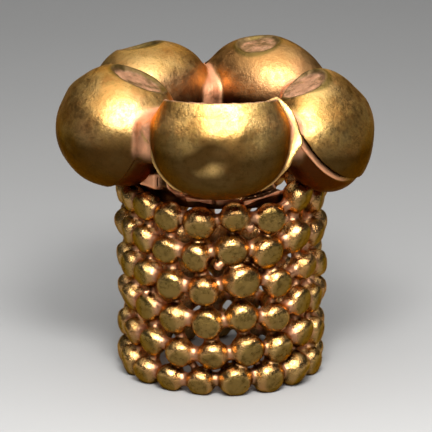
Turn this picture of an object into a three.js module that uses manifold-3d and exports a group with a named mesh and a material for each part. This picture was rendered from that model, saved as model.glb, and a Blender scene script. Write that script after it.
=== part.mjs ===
// An ancient gold bead. A tube is built of six rings of gold granules, fused side by side and
// bridged with solder. A short sheet collar stands on the top ring, and five hollow lobes are
// soldered round it like petals, leaving the bore open from end to end. One lobe's seam has
// sprung, so its empty inside shows through a slit.
//
// Millimetres. +Z is up the bore. The bead stands on its lowest ring, on the plane z = 0, with
// the bore on the Z axis. Azimuths are in degrees, from the front (-Y) towards the right (+X).
import * as THREE from "three";
import { mergeVertices } from "three/addons/utils/BufferGeometryUtils.js";
import Module from "manifold-3d";

// Granules
const GRANULE_RADIUS = 0.425; // of an average granule
const SIZE_SPREAD = 0.03; // how much larger or smaller the handmade granules come
const FACET_SHARE = 0.72; // the outer side is worn flat at this share of a granule's radius
const FOOT_DEPTH = 0.05; // how much of the lowest granules is worn away where the bead stands
const NECK_RADIUS = 0.17; // the fused neck between two granules of a ring
const SOLDER_REACH = 0.8; // the solder under a granule runs this share of the way to the one below

// Rings
const RING_RADIUS = 2.56; // from the bore's axis to the granules' centres, in the lowest ring
const RING_FLARE = 0.015; // each ring is this much wider than the one below it
const RING_RISE = 0.97; // from one ring's centres to the next
const NESTED_RISE = 0.84; // the second ring sits lower, in the hollows of the first
// How many granules each ring has, where its front one stands, and how far the sides bunch up.
const RINGS = [
  { count: 17, turn: 8, bunch: 3 },
  { count: 17, turn: -5.5, bunch: 0 },
  { count: 17, turn: -9, bunch: 0 },
  { count: 16, turn: -11, bunch: 8 },
  { count: 17, turn: 5.5, bunch: 8 },
  { count: 17, turn: 7.5, bunch: 8 },
];
// How far the rings wander up and down on their way round: azimuth, height.
const WANDER = [
  [-180, 0.04],
  [-150, -0.06],
  [-120, 0.05],
  [-80, 0.09],
  [-52, 0.08],
  [-33, -0.05],
  [-13, -0.13],
  [8, 0.11],
  [30, -0.07],
  [55, 0.22],
  [85, -0.06],
  [120, 0.06],
  [150, -0.05],
  [180, 0.04],
];
// Granules that stand out from their ring. A place counts from the granule nearest the front.
const SINGLES = [
  { ring: 1, place: 0, size: 1.1, lift: 0 },
  { ring: 1, place: 2, size: 1.12, lift: 0 },
  { ring: 2, place: 0, size: 0.95, lift: 0 },
  { ring: 4, place: 1, size: 1.2, lift: 0.08 },
  { ring: 5, place: 1, size: 1.12, lift: 0.02 },
  { ring: 5, place: 2, size: 1.14, lift: 0 },
  { ring: 6, place: 0, size: 0.9, lift: -0.05 },
  { ring: 6, place: 2, size: 1.14, lift: 0.14 },
];

// Collar
const COLLAR_INSET = 0.22; // from the circle of the top ring's centres in to the collar's outside
const COLLAR_WALL = 0.18;
const COLLAR_SEAT = 0.14; // how far its foot is sunk between the granules of the top ring
const COLLAR_HEIGHT = 1.14;
const COLLAR_SILL = 0.34; // height of the unbroken band at its foot
// Where the collar is torn down to its foot, between the tabs that carry the lobes.
const COLLAR_GAPS = [
  { azimuth: -66, wide: 0.8 },
  { azimuth: -29, wide: 0.45 },
  { azimuth: 4, wide: 0.8 },
  { azimuth: 52, wide: 1.2 },
  { azimuth: 130, wide: 0.9 },
  { azimuth: 206, wide: 0.8 },
  { azimuth: 252, wide: 0.7 },
];

// Lobes
const LOBE_OVERHANG = 0.57; // from the collar's outside to the lobes' middles
const LOBE_SEAT = 0.8; // from the collar's top up to the lobes' middles
const LOBE_PRESS = 0.06; // how far two lobes are pressed into one another
const SHEET = 0.1; // thickness of the gold sheet
const DISH_DEPTH = 0.09; // how deep the round hollow on a lobe's top is sunk
const DISH_FLOOR = 0.8; // its floor's share of its radius, within its sloping wall
const DISH_LIMIT = 0.9; // the widest dish that a lobe can carry, as a share of its height
// A lobe's place round the bore, its rise above the others, its size away from the bore and
// upwards, and its squareness: 2 is an ellipsoid, and more is boxier. It leans towards the bore
// and tips round the ring, in degrees.
const LOBES = [
  { name: "lobe_front", azimuth: -1, rise: 0.24, deep: 1.42, tall: 1.7, square: 2.2, lean: 0, tip: 0 },
  { name: "lobe_right", azimuth: 70, rise: -0.14, deep: 1.24, tall: 1.72, square: 1.9, lean: 15, tip: -2 },
  { name: "lobe_back_right", azimuth: 156, rise: 0.01, deep: 1.37, tall: 1.55, square: 1.9, lean: -6, tip: 0 },
  { name: "lobe_back_left", azimuth: 222, rise: 0.03, deep: 1.47, tall: 1.45, square: 2.3, lean: -2, tip: 2 },
  { name: "lobe_left", azimuth: 287, rise: -0.04, deep: 1.59, tall: 1.62, square: 2.2, lean: 21, tip: 7 },
];
// The dish on each lobe's top: its radius, and how much further than the lobe it leans.
const DISHES = [
  { radius: 1.42, lean: 15 },
  { radius: 0.66, lean: 8 },
  { radius: 0.62, lean: 6 },
  { radius: 0.6, lean: -16 },
  { radius: 0.8, lean: 1 },
];
// The solder between two lobes, as half sizes: away from the bore, round the ring and upwards.
const WELD = { deep: 0.76, wide: 0.56, tall: 0.66 };
const WELD_INSET = 0.48; // its middle is this much nearer the bore than the lobes' middles,
const WELD_RISE = 0.02; // and this much higher

// The sprung seam, a slit in one lobe's skin
const SPRUNG_LOBE = "lobe_right";
const SEAM_LEAN = 24; // how far the outer bowl's rim leans back from the lobe's own axis
const SLIT_WIDTH = 0.12;
const SLIT_FROM = -10; // round the seam, from level on the lobe's front side down to its foot
const SLIT_TO = 100;

// How finely curved surfaces are faceted
const COLLAR_SEGMENTS = 20;
const LOBE_SEGMENTS = 14;
const LOBE_POLAR_STEPS = 6; // from the dish's rim to the foot
const WELD_SEGMENTS = 6;
const SLIT_SEGMENTS = 5;

const wasm = await Module();
wasm.setup();

const radians = THREE.MathUtils.degToRad;

// A point at an azimuth round the bore.
function onCircle(azimuth, radius, z) {
  const a = radians(azimuth);
  return new THREE.Vector3(radius * Math.sin(a), -radius * Math.cos(a), z);
}

// A solid for cutting and joining, from a closed geometry.
function solidOf(geometry, matrix = new THREE.Matrix4()) {
  const bare = new THREE.BufferGeometry();
  bare.setAttribute("position", geometry.getAttribute("position").clone());
  bare.setIndex(geometry.index);
  const merged = mergeVertices(bare.applyMatrix4(matrix));
  const mesh = new wasm.Mesh({
    numProp: 3,
    vertProperties: merged.getAttribute("position").array,
    triVerts: new Uint32Array(merged.index.array),
  });
  return new wasm.Manifold(mesh);
}

function geometryOf(solid) {
  const mesh = solid.getMesh();
  const geometry = new THREE.BufferGeometry();
  geometry.setAttribute("position", new THREE.BufferAttribute(mesh.vertProperties, 3));
  geometry.setIndex(new THREE.BufferAttribute(mesh.triVerts, 1));
  geometry.computeVertexNormals();
  return geometry;
}

// A repeatable unevenness from -1 to 1.
function uneven(ring, place) {
  return Math.sin(12.9 * ring + 7.3 * place);
}

// The height of the wandering rings at an azimuth, eased between the stated points.
function wander(azimuth) {
  const a = THREE.MathUtils.euclideanModulo(azimuth + 180, 360) - 180;
  const next = WANDER.findIndex(([at], i) => i > 0 && a <= at);
  const [from, low] = WANDER[next - 1];
  const [to, high] = WANDER[next];
  return low + (high - low) * THREE.MathUtils.smoothstep(a, from, to);
}

// The height of a ring's centres above z = 0.
function ringLevel(ring) {
  const first = GRANULE_RADIUS - FOOT_DEPTH;
  return ring === 1 ? first : first + NESTED_RISE + (ring - 2) * RING_RISE;
}

// The circle of a ring's centres.
function ringCircle(ring) {
  return RING_RADIUS + (ring - 1) * RING_FLARE;
}

// Every granule of a ring: its azimuth, radius and centre, once round.
function granulesOf(ring) {
  const { count, turn, bunch } = RINGS[ring - 1];
  const half = Math.floor(count / 2);
  return Array.from({ length: count }, (_, i) => {
    const place = i - half;
    const even = turn + (place * 360) / count;
    const azimuth = even + bunch * (1 - Math.cos(radians(even)));
    const single = SINGLES.find((s) => s.ring === ring && s.place === place);
    const { size, lift } = single ?? { size: 1, lift: 0 };
    const radius = GRANULE_RADIUS * size + SIZE_SPREAD * uneven(ring, place);
    // The lowest ring is level, and each of its granules touches the ground.
    const z = ring === 1 ? radius - FOOT_DEPTH : ringLevel(ring) + wander(azimuth) + lift;
    return { azimuth, radius, centre: onCircle(azimuth, ringCircle(ring), z) };
  });
}

function nearest(granule, others) {
  const far = (other) => other.centre.distanceTo(granule.centre);
  return others.reduce((best, other) => (far(other) < far(best) ? other : best));
}

// The six corners of a granule's section, as shares of the section's radius: outwards, upwards.
// The first two are the edges of the flat outer face.
const SECTION = [
  [1, -1],
  [1, 1],
  [-0.05, 1],
  [-0.86, 0.5],
  [-0.86, -0.5],
  [-0.05, -1],
];
const FACET_CORNERS = 2;
const UNDERSIDE = SECTION.length - 1;
const SECTION_OFFSETS = [-0.6, 0, 0.6]; // along the ring, in granule radii

// The corners of one section across a ring of granules.
function sectionPoints(middle, azimuth, radius, facet) {
  const outward = onCircle(azimuth, 1, 0);
  const edge = Math.sqrt(Math.max(radius * radius - facet * facet, 0));
  return SECTION.map(([out, up], corner) => {
    const [x, z] = corner < FACET_CORNERS ? [facet, up * edge] : [out * radius, up * radius];
    const point = middle.clone().addScaledVector(outward, x);
    point.z += z;
    return point;
  });
}

// A closed ring of granules with fused necks between them, as one surface. Under each granule
// the solder runs down to the nearest granule of the ring below.
function beadedRing(granules, below) {
  const points = [];
  granules.forEach((granule, i) => {
    const { azimuth, centre } = granule;
    const along = onCircle(azimuth + 90, 1, 0);
    for (const offset of SECTION_OFFSETS) {
      const middle = centre.clone().addScaledVector(along, offset * granule.radius);
      const radius = granule.radius * Math.sqrt(1 - offset * offset);
      const section = sectionPoints(middle, azimuth, radius, granule.radius * FACET_SHARE);
      if (offset === 0 && below) {
        section[UNDERSIDE].lerpVectors(centre, nearest(granule, below).centre, SOLDER_REACH);
      }
      points.push(...section);
    }
    const next = granules[(i + 1) % granules.length];
    const step = THREE.MathUtils.euclideanModulo(next.azimuth - azimuth, 360);
    const middle = centre.clone().lerp(next.centre, 0.5);
    points.push(...sectionPoints(middle, azimuth + step / 2, NECK_RADIUS, NECK_RADIUS * FACET_SHARE));
  });
  const corners = SECTION.length;
  const sections = points.length / corners;
  const index = [];
  for (let s = 0; s < sections; s++) {
    for (let c = 0; c < corners; c++) {
      const a = s * corners + c;
      const b = s * corners + ((c + 1) % corners);
      const d = ((s + 1) % sections) * corners + c;
      const e = ((s + 1) % sections) * corners + ((c + 1) % corners);
      index.push(a, d, b, b, d, e);
    }
  }
  const geometry = new THREE.BufferGeometry().setFromPoints(points);
  geometry.setIndex(index);
  return geometry;
}

// The rings of granules, from the foot up. The lowest is cut flat where it stands, and each of
// the others fits the one below it.
function ringSolids() {
  const reach = 4 * RING_RADIUS;
  const block = new THREE.BoxGeometry(reach, reach, reach);
  const ground = solidOf(block, new THREE.Matrix4().makeTranslation(0, 0, -reach / 2));
  const rings = RINGS.map((_, i) => granulesOf(i + 1));
  const solids = rings.map((granules, i) => solidOf(beadedRing(granules, rings[i - 1])));
  return solids.map((solid, i) => solid.subtract(i === 0 ? ground : solids[i - 1]));
}

// The circle and height of the lobes' middles, and the top ring that carries them.
const topRing = RINGS.length;
const collarRadius = ringCircle(topRing) - COLLAR_INSET;
const collarFoot = ringLevel(topRing) + GRANULE_RADIUS - COLLAR_SEAT;
const lobeCircle = collarRadius + LOBE_OVERHANG;
const lobeLevel = collarFoot + COLLAR_HEIGHT + LOBE_SEAT;

// Half the angle from one lobe to the next.
function halfStep(i) {
  const next = LOBES[(i + 1) % LOBES.length];
  return THREE.MathUtils.euclideanModulo(next.azimuth - LOBES[i].azimuth, 360) / 2;
}

function before(i) {
  return (i + LOBES.length - 1) % LOBES.length;
}

// Half the size of a lobe round the ring: it fills its place between its two neighbours.
function halfWidth(i) {
  const share = radians((halfStep(i) + halfStep(before(i))) / 2);
  return lobeCircle * Math.sin(share) + LOBE_PRESS;
}

// The distance from a lobe's middle to its skin, in a direction of the lobe's own frame:
// X points away from the bore, Y along the ring of lobes and Z up the lobe's axis.
function skinDistance(i, direction) {
  const { deep, tall, square } = LOBES[i];
  const sum =
    Math.abs(direction.x / deep) ** square +
    Math.abs(direction.y / halfWidth(i)) ** square +
    Math.abs(direction.z / tall) ** square;
  return sum ** (-1 / square);
}

// A lobe's skin, taken in by an offset. Its top is a flat, round dish.
function lobeSkin(i, offset) {
  const { radius, lean } = DISHES[i];
  const rim = Math.asin(Math.min(radius / LOBES[i].tall, DISH_LIMIT));
  const floorRim = rim * DISH_FLOOR;
  const polar = [0, floorRim, rim];
  for (let k = 1; k <= LOBE_POLAR_STEPS; k++) polar.push(rim + ((Math.PI - rim) * k) / LOBE_POLAR_STEPS);
  const profile = polar.map((angle) => new THREE.Vector2(Math.sin(angle), Math.cos(angle))).reverse();
  profile[0].x = 0;
  const skin = new THREE.LatheGeometry(profile, LOBE_SEGMENTS).rotateX(Math.PI / 2);
  const tilt = new THREE.Matrix4().makeRotationY(radians(-lean));
  const rimway = new THREE.Vector3(0, Math.sin(rim), Math.cos(rim)).applyMatrix4(tilt);
  const floor = skinDistance(i, rimway) * Math.cos(rim) - DISH_DEPTH;
  const position = skin.getAttribute("position");
  for (let k = 0; k < position.count; k++) {
    const direction = new THREE.Vector3().fromBufferAttribute(position, k);
    const steep = direction.z;
    direction.applyMatrix4(tilt);
    const inDish = steep > Math.cos((floorRim + rim) / 2);
    const distance = (inDish ? floor / steep : skinDistance(i, direction)) - offset;
    position.setXYZ(k, ...direction.multiplyScalar(distance).toArray());
  }
  return skin;
}

// From a frame at a place round the bore, with X away from the bore, to the bead's own.
function crownMatrix(azimuth, circle, z) {
  const place = onCircle(azimuth, circle, z);
  const turn = new THREE.Matrix4().makeRotationZ(radians(azimuth - 90));
  return new THREE.Matrix4().makeTranslation(place.x, place.y, place.z).multiply(turn);
}

function lobeMatrix(i) {
  const { azimuth, rise, lean, tip } = LOBES[i];
  const tilt = new THREE.Matrix4().makeRotationX(radians(-tip));
  tilt.multiply(new THREE.Matrix4().makeRotationY(radians(-lean)));
  return crownMatrix(azimuth, lobeCircle, lobeLevel + rise).multiply(tilt);
}

// The sector of space that a lobe has, halfway to its neighbours on either side, less an inset.
function sector(i, inset = 0) {
  const reach = 3 * lobeCircle;
  const first = onCircle(LOBES[i].azimuth - halfStep(before(i)), reach, 0);
  const last = onCircle(LOBES[i].azimuth + halfStep(i), reach, 0);
  const shape = new THREE.Shape().lineTo(first.x, first.y).lineTo(last.x, last.y).closePath();
  const wedge = new THREE.ExtrudeGeometry(shape, { depth: 2 * lobeLevel, bevelEnabled: false });
  const narrow = Math.sin(radians(Math.min(halfStep(i), halfStep(before(i)))));
  const away = onCircle(LOBES[i].azimuth, inset / narrow, 0);
  return solidOf(wedge, new THREE.Matrix4().makeTranslation(away));
}

// The slit of a sprung seam: part of a flat ring across the skin, in the lobe's own frame.
function slit(i) {
  const outside = 1.3 * halfWidth(i);
  const inside = 0.5 * halfWidth(i);
  const [from, to] = [radians(SLIT_FROM), radians(SLIT_TO)];
  const shape = new THREE.Shape().absarc(0, 0, outside, from, to, false).absarc(0, 0, inside, to, from, true);
  const flat = { depth: SLIT_WIDTH, bevelEnabled: false, curveSegments: SLIT_SEGMENTS };
  const band = new THREE.ExtrudeGeometry(shape, flat).translate(0, 0, -SLIT_WIDTH / 2);
  // The ring's plane stands along the seam: its X runs to the lobe's front side and its Y down.
  const front = new THREE.Vector3(0, -1, 0);
  const out = new THREE.Vector3(Math.cos(radians(SEAM_LEAN)), 0, Math.sin(radians(SEAM_LEAN)));
  const down = new THREE.Vector3().crossVectors(out, front);
  return solidOf(band, new THREE.Matrix4().makeBasis(front, down, out));
}

// The solder between a lobe and the next.
function weld(i) {
  const ball = new THREE.SphereGeometry(1, WELD_SEGMENTS, WELD_SEGMENTS).rotateX(Math.PI / 2);
  ball.scale(WELD.deep, WELD.wide, WELD.tall);
  const azimuth = LOBES[i].azimuth + halfStep(i);
  return solidOf(ball, crownMatrix(azimuth, lobeCircle - WELD_INSET, lobeLevel + WELD_RISE));
}

// Each lobe as a filled form, with the solder on one of its sides, shaped to the next lobe.
function filledLobes() {
  const bare = LOBES.map((lobe, i) => solidOf(lobeSkin(i, 0), lobeMatrix(i)).intersect(sector(i)));
  return bare.map((solid, i) => solid.add(weld(i)).subtract(bare[(i + 1) % LOBES.length]));
}

// The space inside a lobe of thin sheet, with the slit that opens it.
function hollow(i) {
  const space = solidOf(lobeSkin(i, SHEET), lobeMatrix(i)).intersect(sector(i, SHEET));
  return space.add(slit(i).transform(lobeMatrix(i).toArray()));
}

// The sheet collar between the top ring and the lobes, torn away in places.
function collarSolid(ring, lobes) {
  const inside = collarRadius - COLLAR_WALL;
  const top = collarFoot + COLLAR_HEIGHT;
  const profile = [
    new THREE.Vector2(inside, collarFoot),
    new THREE.Vector2(collarRadius, collarFoot),
    new THREE.Vector2(collarRadius, top),
    new THREE.Vector2(inside, top),
    new THREE.Vector2(inside, collarFoot),
  ];
  let solid = solidOf(new THREE.LatheGeometry(profile, COLLAR_SEGMENTS).rotateX(Math.PI / 2));
  for (const gap of COLLAR_GAPS) {
    const block = new THREE.BoxGeometry(4 * COLLAR_WALL, gap.wide, 2 * COLLAR_HEIGHT);
    const middle = collarFoot + COLLAR_SILL + COLLAR_HEIGHT;
    solid = solid.subtract(solidOf(block, crownMatrix(gap.azimuth, collarRadius, middle)));
  }
  return [ring, ...lobes].reduce((left, other) => left.subtract(other), solid);
}

const GRANULE_GOLD = new THREE.MeshStandardMaterial({ color: 0xb98547, roughness: 0.36, metalness: 1 });
const SOLDER_GOLD = new THREE.MeshStandardMaterial({ color: 0xc68a62, roughness: 0.45, metalness: 1 });
const SHEET_GOLD = new THREE.MeshStandardMaterial({ color: 0xb4934f, roughness: 0.3, metalness: 1 });

function addPiece(group, name, solid, material) {
  const mesh = new THREE.Mesh(geometryOf(solid), material);
  mesh.name = name;
  group.add(mesh);
}

const bead = new THREE.Group();
const rings = ringSolids();
const filled = filledLobes();
const lobes = filled.map((solid, i) => (LOBES[i].name === SPRUNG_LOBE ? solid.subtract(hollow(i)) : solid));
rings.forEach((solid, i) => addPiece(bead, `granule_ring_${i + 1}`, solid, GRANULE_GOLD));
addPiece(bead, "collar", collarSolid(rings[rings.length - 1], filled), SOLDER_GOLD);
lobes.forEach((solid, i) => addPiece(bead, LOBES[i].name, solid, SHEET_GOLD));

export default bead;
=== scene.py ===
"""Dresses the gold bead's frame: fused granules, sheet-gold lobes, solder, floor, lights, camera.

Every surface is modelled as a distance field in millimetres, meshed on a fine grid and then
drawn onto the field exactly. A distance is negative inside the gold.
"""
import math
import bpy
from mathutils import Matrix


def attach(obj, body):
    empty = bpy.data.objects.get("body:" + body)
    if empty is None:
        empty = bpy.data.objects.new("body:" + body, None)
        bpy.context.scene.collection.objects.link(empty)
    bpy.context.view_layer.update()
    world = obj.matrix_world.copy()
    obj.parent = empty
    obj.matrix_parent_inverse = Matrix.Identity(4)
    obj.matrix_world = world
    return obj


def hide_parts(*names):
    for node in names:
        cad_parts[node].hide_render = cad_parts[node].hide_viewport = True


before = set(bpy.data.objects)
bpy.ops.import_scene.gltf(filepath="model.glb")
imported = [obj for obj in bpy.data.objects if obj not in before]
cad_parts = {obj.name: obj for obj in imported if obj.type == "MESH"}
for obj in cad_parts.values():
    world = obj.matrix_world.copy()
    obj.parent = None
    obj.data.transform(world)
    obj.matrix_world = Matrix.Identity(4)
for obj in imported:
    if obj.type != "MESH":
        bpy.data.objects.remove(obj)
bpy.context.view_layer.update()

from concurrent.futures import ThreadPoolExecutor
import bpy
import numpy as np
from mathutils import Matrix, Vector

MM = 0.001

# Camera, as the photograph was taken: a long lens, looking down a little from the front.
PHOTO_PIXELS = 432
PIXEL = 0.028  # millimetres of the bead in one pixel
CAMERA_ELEVATION = 17.0
CAMERA_DISTANCE = 130.0
CAMERA_TARGET = (-0.168, 0.0, 4.39)
SENSOR_WIDTH = 36.0

# Fields and their meshes
FAR = 9.0  # stands for far away
EMPTY = 1.0  # a field's value where there is no gold near
LEAST_SLOPE = 0.2  # a field's slope is squared, and taken to be no less than this
SLOPE_STEP = 0.004  # how far apart a slope is measured
DRAW_ROUNDS = 2  # how often the vertices are moved onto their field
DRAW_SHARE = 0.5  # how far they move towards the middle of their neighbours
MARGIN = 0.2  # how far past its own surface a lump is drawn
OPEN_REACH = 0.16  # how far out a surface looks for gold that closes it in, for the painted shade in hollows
LOOKS_DOWN = (-0.37, 0.14)  # how steeply down a surface looks where the painted underside shade starts, and is full

# Granules and rings, as in the frame
GRANULE_RADIUS = 0.425
SIZE_SPREAD = 0.03
FACET_SHARE = 0.67  # a granule is worn flat at this share of its radius,
FACET_SPREAD = 0.18  # or at up to this much more
FACET_BULGE = 1.3  # radius of the slightly rounded worn face
FACET_TILT = 0.14
FACET_DROOP = 0.26  # the worn faces look down a little
FACET_SOFT = 0.07  # how softly a worn face runs into the ball
STRETCH = 0.05  # how much a granule's sides differ
TONE = 0.3  # how brown a granule may have grown
SKIN_REACH = 0.95  # how far from its middle a granule's distance is worked out,
TINT_REACH = 0.8  # and its colour
FOOT_DEPTH = 0.05  # how much the lowest granules are ground off
FOOT_SOFT = 0.02  # how softly the ground foot ends
# Necks join the granules of a ring, and bridges join two rings.
NECK_RADIUS = 0.18
NECK_SPREAD = (0.8, 1.2)  # how much thinner or thicker one may be
NECK_INSET = 0.02
NECK_DROP = (-0.02, 0.1)  # how far one may lie above and below the granules' middles
BRIDGE_RADIUS = 0.12
BRIDGE_SPREAD = (0.9, 1.7)
BRIDGE_TAPER = 1.1  # how much thicker its lower end is
BRIDGE_INSET = 0.16  # how much deeper it lies than the granules' middles
SECOND_BRIDGE = 0.1  # radius of a bridge to the second granule below,
SECOND_REACH = 1.12  # made where that is no further away than this
RING_RADIUS = 2.56
RING_FLARE = 0.015
RING_RISE = 0.97
NESTED_RISE = 0.84
# Each ring's number of granules, its turn, and how far it is turned further at the sides
RINGS = [(17, 8, 3), (17, -5.5, 0), (17, -9, 0), (16, -11, 8), (17, 5.5, 8), (17, 7.5, 8)]
# How the rings rise and fall round the tube: azimuth and height
WANDER = [(-180, 0.04), (-150, -0.06), (-120, 0.05), (-80, 0.09), (-52, 0.08), (-33, -0.05),
          (-13, -0.13), (8, 0.11), (30, -0.07), (55, 0.22), (85, -0.06), (120, 0.06),
          (150, -0.05), (180, 0.04)]
# Single granules, by ring and place: how large they are, and how much higher they sit
SINGLES = {(1, 0): (1.1, 0), (1, 2): (1.12, 0), (2, 0): (0.95, 0), (4, 1): (1.2, 0.08),
           (5, 1): (1.12, 0.02), (5, 2): (1.14, 0), (6, 0): (0.9, -0.05), (6, 2): (1.14, 0.14)}

RING_STEP = 0.0405  # grid spacing
RING_MARGIN = 0.65  # how far the grid reaches past the circle of the granules' middles,
RING_LAP = 0.35  # and above and below them
SOFT = 0.12  # how softly solder runs into a granule
SINK = 7.0  # how fast a piece sinks inside its neighbour past their joint
GRAIN = 0.008  # unevenness of the granules,
FINE_GRAIN = 0.4 * GRAIN  # and its finer part
FACE_SEED = 1000  # added to a granule's seed for its worn face,
BRIDGE_SEED = 500  # and for its bridge


def unit(azimuth):
    """Points away from the bore at an azimuth: 0 is the front, 90 the right."""
    a = math.radians(azimuth)
    return np.array([math.sin(a), -math.cos(a), 0.0])


def on_circle(azimuth, radius, z):
    return unit(azimuth) * radius + np.array([0.0, 0.0, z])


def ease(x, low, high):
    t = np.clip((x - low) / (high - low), 0.0, 1.0)
    return t * t * (3.0 - 2.0 * t)


def smooth_min(a, b, k):
    h = np.maximum(k - np.abs(a - b), 0.0) / k
    return np.minimum(a, b) - h * h * k * 0.25


def smooth_max(a, b, k):
    return -smooth_min(-a, -b, k)


def lattice(cell, seed):
    """A repeatable random value from -1 to 1 for each whole-number place."""
    n = cell[..., 0] * 374761393 + cell[..., 1] * 668265263 + cell[..., 2] * 1440662683
    n = (n + seed * 1013904223) & 0xFFFFFFFF
    n = ((n ^ (n >> 13)) * 1274126177) & 0xFFFFFFFF
    return ((n ^ (n >> 16)) & 0xFFFF) / 32767.5 - 1.0


def ripple(points, size, seed):
    """Smooth unevenness from -1 to 1, with lumps of about the given size."""
    p = points / size
    cell = np.floor(p).astype(np.int64)
    t = p - cell
    t = t * t * (3.0 - 2.0 * t)
    total = np.zeros(points.shape[:-1])
    for corner in np.ndindex(2, 2, 2):
        weight = np.prod(np.where(np.array(corner) == 1, t, 1.0 - t), axis=-1)
        total += weight * lattice(cell + np.array(corner), seed)
    return total


class Lump:
    """One simple solid of a field: its middle, how far it reaches, and its distance function."""

    def __init__(self, middle, reach, distance, soft=SOFT):
        self.middle = np.asarray(middle, float)
        self.reach = reach
        self.distance = distance
        self.soft = soft


def sphere_sets(lumps, points):
    """For each lump, which of the points it reaches."""
    return [np.flatnonzero(((points - one.middle) ** 2).sum(1) < one.reach ** 2) for one in lumps]


def merge(lumps, sets, points):
    """The distance to all the lumps, run softly together, at a list of points."""
    field = np.full(len(points), EMPTY)
    for lump, near in zip(lumps, sets):
        if len(near):
            field[near] = smooth_min(field[near], lump.distance(points[near]), lump.soft)
    return field


class Grid:
    """A box of evenly spaced points that a field is drawn into."""

    def __init__(self, low, high, step):
        self.step = step
        self.low = np.asarray(low, float)
        self.count = np.ceil((np.asarray(high) - self.low) / step).astype(int) + 1
        self.field = np.full(self.count, EMPTY)

    def block(self, middle, reach):
        """The index range and the points of the part of the grid round a middle."""
        first = np.floor((middle - reach - self.low) / self.step).astype(int)
        last = np.ceil((middle + reach - self.low) / self.step).astype(int) + 1
        first, last = (np.clip(end, 0, self.count) for end in (first, last))
        axes = [self.low[a] + self.step * np.arange(first[a], last[a]) for a in range(3)]
        window = tuple(slice(first[a], last[a]) for a in range(3))
        return window, np.stack(np.meshgrid(*axes, indexing="ij"), -1)

    def points(self):
        """Every point of the grid."""
        return self.block(self.low, self.step * self.count.max())[1]

    def add(self, lumps):
        """Runs some lumps softly into the field."""
        for lump in lumps:
            window, points = self.block(lump.middle, lump.reach)
            if points.size:
                old = self.field[window]
                self.field[window] = smooth_min(old, lump.distance(points), lump.soft)

    def skins(self, granules):
        """The distance to the nearest of some granules."""
        nearest_skin = np.full(self.count, FAR)
        for g in granules:
            window, points = self.block(g.centre, SKIN_REACH)
            if points.size:
                nearest_skin[window] = np.minimum(nearest_skin[window], g.ball(points))
        return nearest_skin


def surface(grid):
    """Quads round the zero level of a grid's field, one vertex for each cell that it crosses."""
    inside = grid.field < 0
    nx, ny, nz = inside.shape
    corners = list(np.ndindex(2, 2, 2))
    total = np.zeros((nx - 1, ny - 1, nz - 1), np.int8)
    for i, j, k in corners:
        total += inside[i:nx - 1 + i, j:ny - 1 + j, k:nz - 1 + k]
    cells = np.argwhere((total > 0) & (total < 8))
    numbers = np.full(total.shape, -1, np.int64)
    numbers[tuple(cells.T)] = np.arange(len(cells))
    values = {c: grid.field[tuple((cells + c).T)] for c in corners}
    place = np.zeros((len(cells), 3))
    crossings = np.zeros(len(cells))
    for a in corners:
        for axis in range(3):
            if a[axis]:
                continue
            b = list(a)
            b[axis] = 1
            va, vb = values[a], values[tuple(b)]
            cross = (va < 0) != (vb < 0)
            t = np.where(cross, va / np.where(cross, va - vb, 1.0), 0.0)
            step = np.tile(np.array(a, float), (len(cells), 1))
            step[:, axis] += t
            place += step * cross[:, None]
            crossings += cross
    points = grid.low + grid.step * (cells + place / crossings[:, None])
    quads = []
    for axis in range(3):
        u, v = (axis + 1) % 3, (axis + 2) % 3
        here = [slice(1, -1)] * 3
        here[axis] = slice(0, -1)
        there = list(here)
        there[axis] = slice(1, None)
        crossing = inside[tuple(here)] != inside[tuple(there)]
        edges = np.argwhere(crossing)
        edges[:, u] += 1
        edges[:, v] += 1
        outward = inside[tuple(edges.T)]
        ring = []
        for du, dv in ((0, 0), (-1, 0), (-1, -1), (0, -1)):
            cell = edges.copy()
            cell[:, u] += du
            cell[:, v] += dv
            ring.append(numbers[tuple(cell.T)])
        quad = np.stack(ring, 1)
        quad[~outward] = quad[~outward][:, ::-1]
        quads.append(quad)
    return main_body(points, np.concatenate(quads))


def main_body(points, quads):
    """The largest connected part of a mesh, without the loose specks beside it."""
    edges = np.concatenate([quads[:, :2], quads[:, 1:3], quads[:, 2:]])
    label = np.arange(len(points))
    while True:
        lowest = np.minimum(label[edges[:, 0]], label[edges[:, 1]])
        better = label.copy()
        np.minimum.at(better, edges[:, 0], lowest)
        np.minimum.at(better, edges[:, 1], lowest)
        better = better[better]
        if (better == label).all():
            break
        label = better
    kept = label == np.bincount(label).argmax()
    numbers = np.cumsum(kept) - 1
    return points[kept], numbers[quads[kept[quads[:, 0]]]]


def slope(field, points, here):
    """The field's slope at each point, by a small step along each axis."""
    steps = np.eye(3) * SLOPE_STEP
    return np.stack([field(points + step) - here for step in steps], 1) / SLOPE_STEP


def draw_on(field, points, quads, step):
    """Moves the vertices onto the field's zero level, and evens out their spacing."""
    edges = np.concatenate([quads[:, [i, (i + 1) % 4]] for i in range(4)])
    counts = np.maximum(np.bincount(edges[:, 0], minlength=len(points)), 1)[:, None]
    for turn in range(DRAW_ROUNDS):
        here = field(points)
        grade = slope(field, points, here)
        size = np.maximum((grade ** 2).sum(1), LEAST_SLOPE)
        points = points - np.clip((here / size)[:, None] * grade, -step / 2, step / 2)
        if turn == 0:
            sums = np.stack([np.bincount(edges[:, 0], points[edges[:, 1], a], len(points))
                             for a in range(3)], 1)
            shift = sums / counts - points
            normal = grade / np.sqrt(size)[:, None]
            points = points + DRAW_SHARE * (shift - (shift * normal).sum(1)[:, None] * normal)
    return points


def under_side(normals):
    """How far the surface looks down, from 0 to 1: the share of painted underside shade."""
    return ease(-normals[:, 2], *LOOKS_DOWN)


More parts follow.
